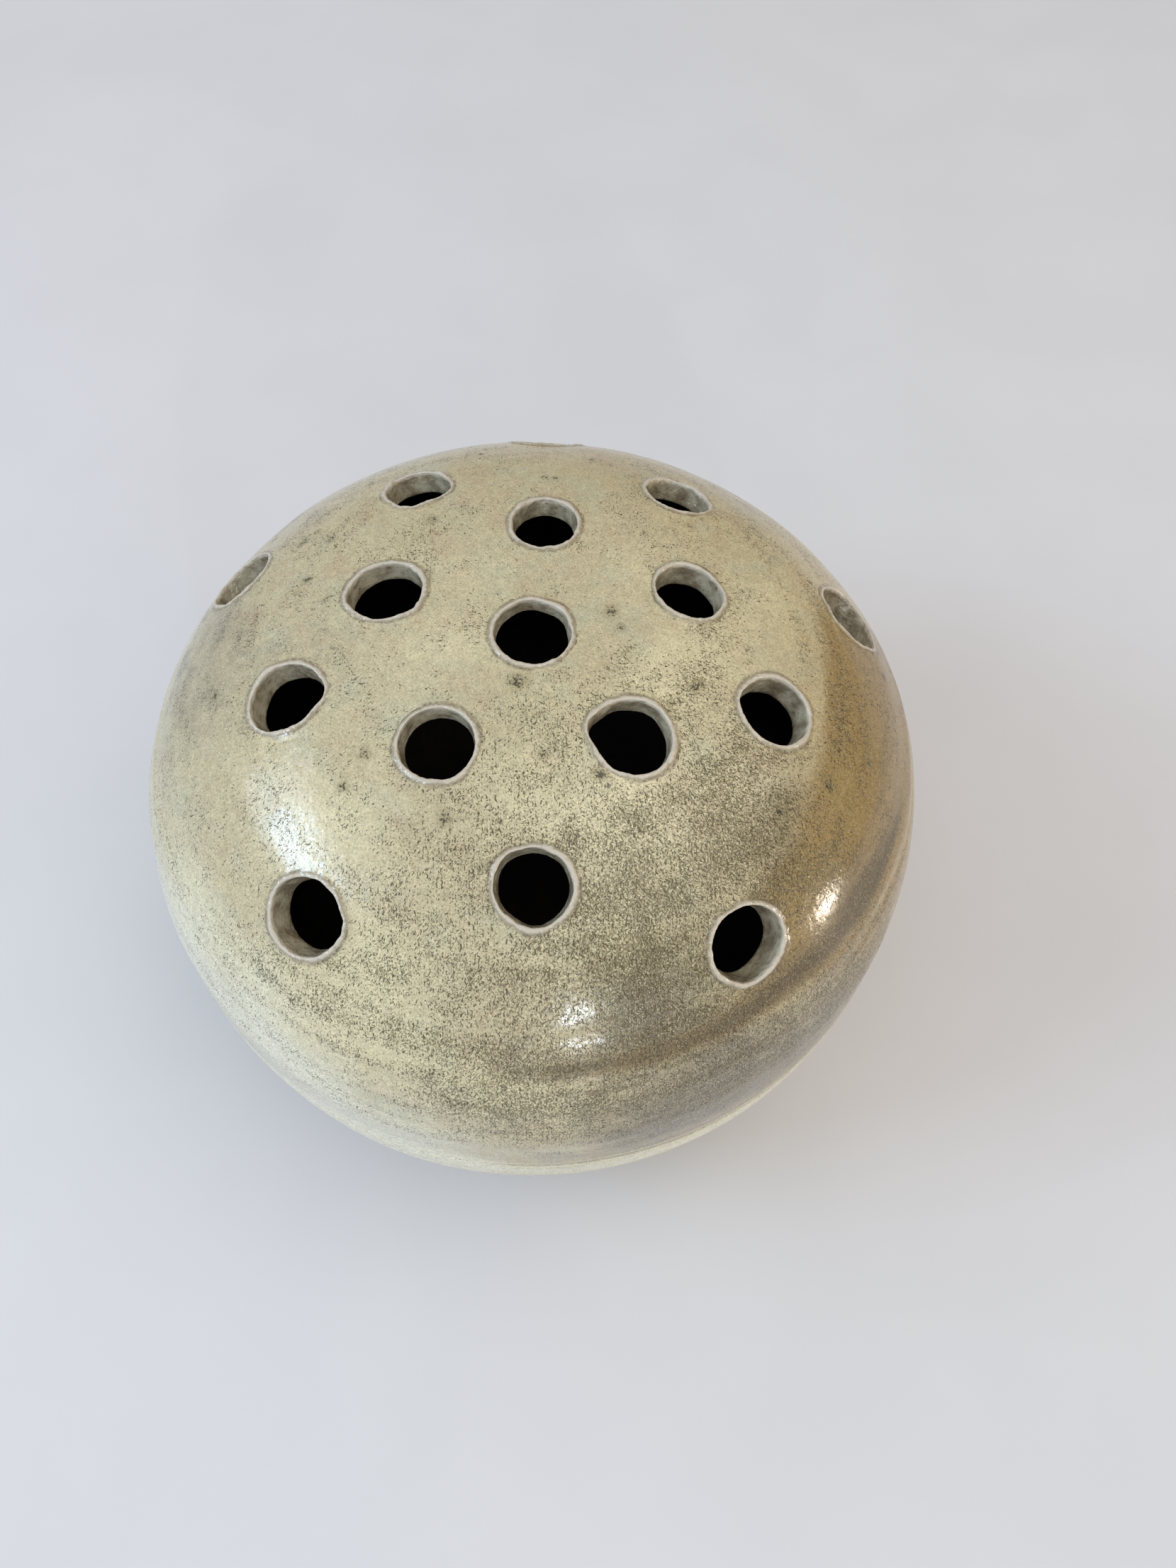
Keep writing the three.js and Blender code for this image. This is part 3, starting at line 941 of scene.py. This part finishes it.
def lipGlazeMaterial():
    material, tree, point = newMaterial("lipGlaze")
    colour, rough, relief = ashGlaze(tree, point)
    across = attribute(tree, "lipPlace")
    size, gain = lipPattern["stray"]
    strayed = swayed(tree, across, noise(tree, point, size, 3), gain)
    fine = noise(tree, point, lipPattern["fine"], 3, 0.6)

    # The dark line round the foot of the lip is partly painted shade
    lineIn, lineFull, lineOut, lineEnd = lipPattern["line"]
    line = times(tree, soften(tree, strayed, lineIn, lineFull), soften(tree, strayed, lineOut, lineEnd))
    speckled = times(tree, soften(tree, fine, 0.35, 0.6, 0.4, 1.0),
                    soften(tree, noise(tree, point, 7, 2), 0.35, 0.65, 0.35, 0.9))
    colour = mixColour(tree, times(tree, line, speckled), colour, colours["lipLineAndShade"])
    onLip = soften(tree, strayed, *lipPattern["edge"])
    # Painted highlight: the lip's crest is pale, its flank darker where the glaze runs thin
    crownAndHighlight = soften(tree, swayed(tree, strayed, fine, 1.2), *lipPattern["crownAndHighlight"])
    colour = mixColour(tree, onLip, colour, mixColour(tree, crownAndHighlight, colours["lipShade"], colours["lip"]))

    # The hole's wall: its colour is partly painted shade
    streaky = soften(tree, noise(tree, point, lipPattern["streaks"], 3, 0.5), 0.34, 0.72, 0, 0.9)
    shadedThroat = mixColour(tree, streaky, colours["shadedThroat"], colours["throatShade"])
    peppered = soften(tree, noise(tree, point, lipPattern["pepper"], 2, 0.7), 0.62, 0.70, 0, 0.7)
    shadedThroat = mixColour(tree, peppered, shadedThroat, colours["speck"])
    colour = mixColour(tree, soften(tree, strayed, *lipPattern["shadedThroat"]), colour, shadedThroat)
    # Painted shade: past the end of the wall the collar is as dark as the inside
    past = calc(tree, "SUBTRACT", across, attribute(tree, "lipDepth"))
    colour = mixColour(tree, soften(tree, past, *lipPattern["past"]), colour, colours["paintedShade"])

    rough = mixColour(tree, onLip, rough, lipPattern["rough"])
    even = soften(tree, noise(tree, point, lipPattern["smooth"], 2), 0.2, 0.8)
    relief = mixColour(tree, onLip, relief, times(tree, even, 0.6))
    glazed(tree, colour, rough, relief)
    return material


# Painted shade for the inside of the vase: near-black, a little lighter in patches
def paintedShadeMaterial():
    material, tree, point = newMaterial("paintedShadeInside")
    lighterShade = soften(tree, noise(tree, point, 9, 3), 0.35, 0.75)
    colour = mixColour(tree, lighterShade, colours["paintedShade"], colours["paintedShadeLighter"])
    glazed(tree, colour, 0.45, noise(tree, point, 3, 3), **{"Specular IOR Level": 0.12})
    return material


def bareClayMaterial():
    material, tree, point = newMaterial("bareClay")
    sandy = noise(tree, point, 0.5, 3, 0.7)
    toasted = soften(tree, noise(tree, point, 14, 3), 0.4, 0.7)
    colour = mixColour(tree, toasted, colours["clay"], colours["toast"])
    colour = mixColour(tree, soften(tree, sandy, 0.3, 0.7, 0, 0.5), colour, colours["sand"])
    grog = soften(tree, noise(tree, point, 0.9, 2, 0.6), 0.68, 0.74)
    colour = mixColour(tree, grog, colour, colours["spotCore"])
    giveSurface(tree, colour, 0.85, sandy, (0.8, 0.15))
    return material


def paint(piece, *materials):
    piece.data.materials.clear()
    for material in materials:
        piece.data.materials.append(material)


def paintFaces(piece, slotNumber, chosen):  # chosen looks at a face's middle and its normal
    for face in piece.data.polygons:
        if chosen(face.center / mm, face.normal):
            face.material_index = slotNumber


def smooth(piece, degrees=40):
    pickUp(piece)
    bpy.ops.object.shade_smooth_by_angle(angle=math.radians(degrees))


# Making the vase

print("materials: ash glaze, lips, liner, bare clay")
# The third material is painted shade for the inside of the vase
ash, lipAsh, paintedShade, clay = ashGlazeMaterial(), lipGlazeMaterial(), paintedShadeMaterial(), bareClayMaterial()

print("dome: thrown, holes cut")
uncutDome = throwDome()
dome = copyOf(uncutDome, "glazedDome")
cutHoles(dome)
smooth(dome)
dipInGlaze(dome)
paint(dome, ash, paintedShade)


def insideDome(middle, normal):
    radius = math.hypot(middle.x, middle.y)
    facesIn = normal.dot(Vector((middle.x, middle.y, middle.z - domeClay["heart"]))) < 0
    skin = form["skin"]
    return facesIn or (middle.z < domeHeight(radius) - skin and radius < form["girthRadius"] - skin)


# The dome's inside faces get the painted shade
paintFaces(dome, 1, insideDome)
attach(dome, "root")
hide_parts("pierced_dome")

print("bowl: thrown and turned")
bowl = throwBowl()
smooth(bowl)
dipInGlaze(bowl)
paint(bowl, ash, paintedShade, clay)


def insideBowl(middle, normal):
    deepest = bellyRadius(middle.z) - form["skin"]
    return middle.z > form["floorTop"] - 3 and math.hypot(middle.x, middle.y) < deepest


# The bowl's inside faces get the painted shade
paintFaces(bowl, 1, insideBowl)
paintFaces(bowl, 2, lambda middle, normal: normal.z < -0.9 and middle.z < form["floorTop"] - 4)
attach(bowl, "root")
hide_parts("lower_bowl")

print("foot: turned")
foot = turnFoot()
smooth(foot)
paint(foot, clay)
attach(foot, "root")
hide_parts("foot_ring")

print("collars: one laid round each of", len(stemHoles), "holes")
for holeName, stemHole in stemHoles.items():
    lip = layCollar(holeName, stemHole, uncutDome)
    smooth(lip, 60)
    dipInGlaze(lip)
    paint(lip, lipAsh)
    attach(lip, "root")
    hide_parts("hole_lip_" + holeName)
discard(uncutDome)


# Table, light and camera
room = {
    "table": 5,  # metres across
    "tableColour": (0.695, 0.695, 0.725, 1),
    "tableClouds": 60,  # millimetres
    "tableRough": 0.55,
    "bright": (-0.75, -0.45, 0.48),  # the room is brightest on this side
    "brightAir": (0.70, 0.72, 0.76, 1),
    "dimAir": (0.355, 0.265, 0.14, 1),
    "hangAround": 0.1,  # the lights are hung around a place this high above the table
    # turn and height are the direction the light comes from, in degrees; away, width and tall in metres
    "lights": {
        "window": {"turn": -168, "height": 36, "away": 1.6, "width": 0.52, "tall": 0.24, "power": 4.2,
                   "colour": (0.46, 0.72, 1.0)},
        "curtain": {"turn": -174, "height": 36, "away": 1.6, "width": 0.9, "tall": 0.5, "power": 6,
                    "colour": (0.72, 0.86, 1.0)},
        "lamp": {"turn": -17, "height": 1, "away": 1.3, "width": 0.17, "tall": 0.22, "power": 4.2,
                 "colour": (1.0, 0.87, 0.72)},
        "upperPane": {"turn": -81, "height": 21, "away": 1.6, "width": 0.045, "tall": 0.04, "power": 1.7,
                      "colour": (0.8, 0.9, 1.0)},
        "lowerPane": {"turn": -80, "height": 3, "away": 1.6, "width": 0.05, "tall": 0.05, "power": 1.2,
                      "colour": (0.8, 0.9, 1.0)},
        "ceiling": {"turn": -20, "height": 65, "away": 2.0, "width": 1.6, "tall": 1.6, "power": 10.8,
                    "colour": (1.0, 0.94, 0.84)},
    },
    # The eye looks at the girth from 0.29 m away, a little from the left, with the head slightly tilted
    "eyeAway": 0.2914,
    "eyeHeight": 59.63,
    "look": (30.5, -4.85, 3.2),  # tilt up from straight down, turn, and roll
    "lens": 27.03,
    "sensor": 36,
    "nearest": 0.01,
}


def layTable():
    deselectAll()
    bpy.ops.mesh.primitive_plane_add(size=room["table"], location=(0, 0, 0))
    table = nameActive("table")
    material, tree, point = newMaterial("paleTable")
    tone = soften(tree, noise(tree, point, room["tableClouds"], 3), 0.3, 0.7, 0.97, 1.0)
    colour = dimmed(tree, room["tableColour"], tone)
    sockets = {"Base Color": colour, "Roughness": room["tableRough"]}
    shader = addNode(tree, "ShaderNodeBsdfPrincipled", sockets)
    addNode(tree, "ShaderNodeOutputMaterial", {"Surface": shader.outputs["BSDF"]})
    paint(table, material)


def hangLight(name, light):
    turn, height = math.radians(light["turn"]), math.radians(light["height"])
    flat = math.cos(height)
    toward = Vector((math.cos(turn) * flat, math.sin(turn) * flat, math.sin(height)))
    middle = Vector((0, 0, room["hangAround"]))
    bpy.ops.object.light_add(type="AREA", location=toward * light["away"] + middle)
    lamp = bpy.context.active_object
    lamp.name = name
    lamp.rotation_euler = toward.to_track_quat("Z", "Y").to_euler()
    lamp.data.shape = "RECTANGLE"
    lamp.data.size = light["width"]
    lamp.data.size_y = light["tall"]
    lamp.data.energy = light["power"]
    lamp.data.color = light["colour"]


def setCamera():
    height, away = math.radians(room["eyeHeight"]), room["eyeAway"]
    girth = form["girthHeight"] * mm
    tilt, turn, roll = (math.radians(angle) for angle in room["look"])
    bpy.ops.object.camera_add(location=(0, -math.cos(height) * away, girth + math.sin(height) * away))
    camera = bpy.context.active_object
    look = Matrix.Rotation(turn, 3, "Z") @ Matrix.Rotation(tilt, 3, "X") @ Matrix.Rotation(roll, 3, "Z")
    camera.rotation_euler = look.to_euler()
    camera.data.lens = room["lens"]
    camera.data.sensor_width = room["sensor"]
    camera.data.clip_start = room["nearest"]
    bpy.context.scene.camera = camera


print("table, light and camera")
layTable()
for lightName, lightFacts in room["lights"].items():
    hangLight(lightName, lightFacts)
setCamera()
world = bpy.data.worlds.new("room")
world.use_nodes = True
sky = world.node_tree
direction = addNode(sky, "ShaderNodeTexCoord").outputs["Generated"]
facing = calcVector(sky, "DOT_PRODUCT", direction, Vector(room["bright"]).normalized())
airColour = mixColour(sky, soften(sky, facing, -0.9, 0.9), room["dimAir"], room["brightAir"])
sky.links.new(airColour, sky.nodes["Background"].inputs["Color"])
bpy.context.scene.world = world
bpy.context.scene.view_settings.view_transform = "Standard"
